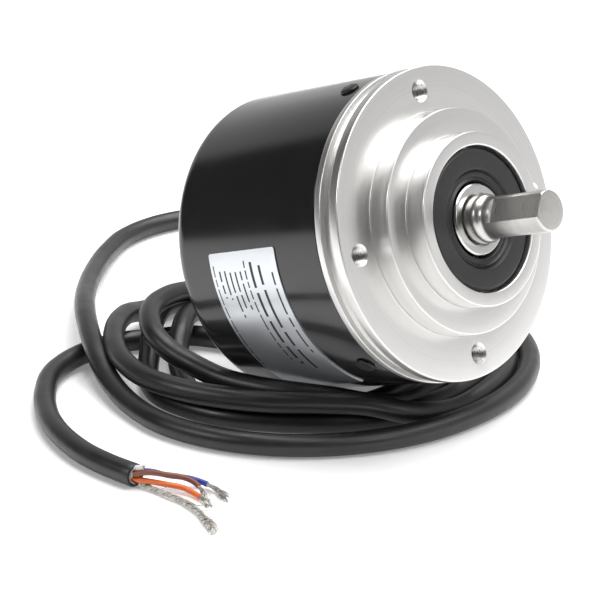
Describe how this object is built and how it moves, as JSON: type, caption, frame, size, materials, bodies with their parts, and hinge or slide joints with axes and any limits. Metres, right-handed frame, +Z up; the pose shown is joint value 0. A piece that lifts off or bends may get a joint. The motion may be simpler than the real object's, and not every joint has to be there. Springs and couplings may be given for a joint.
{
  "type": "rotary encoder",
  "caption": "Flange-mounted solid-shaft incremental rotary encoder with a black cover, sealed bearings, D-cut shaft and a loose cable ending in stripped cores.",
  "frame": {"origin": "on the floor, below the middle of the encoder without its cable", "axes": "+Z up from the floor; the shaft points along +X and 18 degrees up, because the encoder rests nose-up on its own cable; +Y is level, across the shaft"},
  "size_m": [0.1963, 0.2027, 0.09],
  "materials": {
    "aluminium": "fine turned",
    "black_paint": "glossy black coating",
    "black_screw": "black oxide",
    "steel": "ground",
    "shaft_steel": "ground stainless",
    "brass": "machined",
    "seal_rubber": "moulded",
    "black_plastic": "moulded",
    "cable_jacket": "satin sheath",
    "circuit_green": "solder mask",
    "glass": "polished",
    "label_foil": "satin printed foil",
    "core_blue": "smooth",
    "core_brown": "smooth",
    "core_orange": "smooth",
    "core_white": "smooth",
    "tinned_copper": "tinned strands"
  },
  "bodies": {
    "housing": {"mounting_flange": "aluminium", "rear_cover": "black_paint", "rating_label": "label_foil", "cover_screw_1": "black_screw", "cover_screw_2": "black_screw", "cover_screw_3": "black_screw", "cover_sealing_ring": "seal_rubber", "shaft_seal": "seal_rubber", "preload_washer": "steel", "front_bearing_outer_ring": "steel", "rear_bearing_outer_ring": "steel", "bearing_retaining_ring": "steel", "light_source": "black_plastic", "mask_plate": "glass", "light_sensor": "black_plastic", "circuit_board": "circuit_green", "board_standoff_1": "brass", "board_screw_1": "steel", "board_standoff_2": "brass", "board_screw_2": "steel", "board_standoff_3": "brass", "board_screw_3": "steel", "line_driver_chip": "black_plastic", "capacitor": "black_plastic", "wire_terminal": "black_plastic", "inner_leads": "cable_jacket", "cable_gland": "black_plastic", "bend_relief": "seal_rubber", "cable": "cable_jacket", "conductor_blue": "core_blue", "conductor_brown": "core_brown", "conductor_orange": "core_orange", "conductor_white": "core_white", "cable_screen": "tinned_copper"},
    "rotor": {"drive_shaft": "shaft_steel", "seal_sleeve": "steel", "bearing_spacer": "steel", "disc_hub": "brass", "code_disc": "glass", "disc_clamp_ring": "steel", "hub_set_screw": "black_screw", "front_bearing_inner_ring": "steel", "rear_bearing_inner_ring": "steel"},
    "front_balls": {"front_ball_cage": "steel"},
    "rear_balls": {"rear_ball_cage": "steel"}
  },
  "joints": [
    {"name": "shaft_spin", "type": "hinge", "parent": "housing", "child": "rotor", "pos_m": [0.01705, 0, 0.05332], "axis": [0.9511, 0, 0.309], "continuous": true},
    {"name": "front_balls_roll", "type": "hinge", "parent": "housing", "child": "front_balls", "pos_m": [0.01781, 0, 0.05356], "axis": [0.9511, 0, 0.309], "continuous": true},
    {"name": "rear_balls_roll", "type": "hinge", "parent": "housing", "child": "rear_balls", "pos_m": [-0.00625, 0, 0.04575], "axis": [0.9511, 0, 0.309], "continuous": true}
  ],
  "couplings": [
    {"joint": "front_balls_roll", "follows": "shaft_spin", "ratio": 0.4},
    {"joint": "rear_balls_roll", "follows": "shaft_spin", "ratio": 0.4}
  ]
}
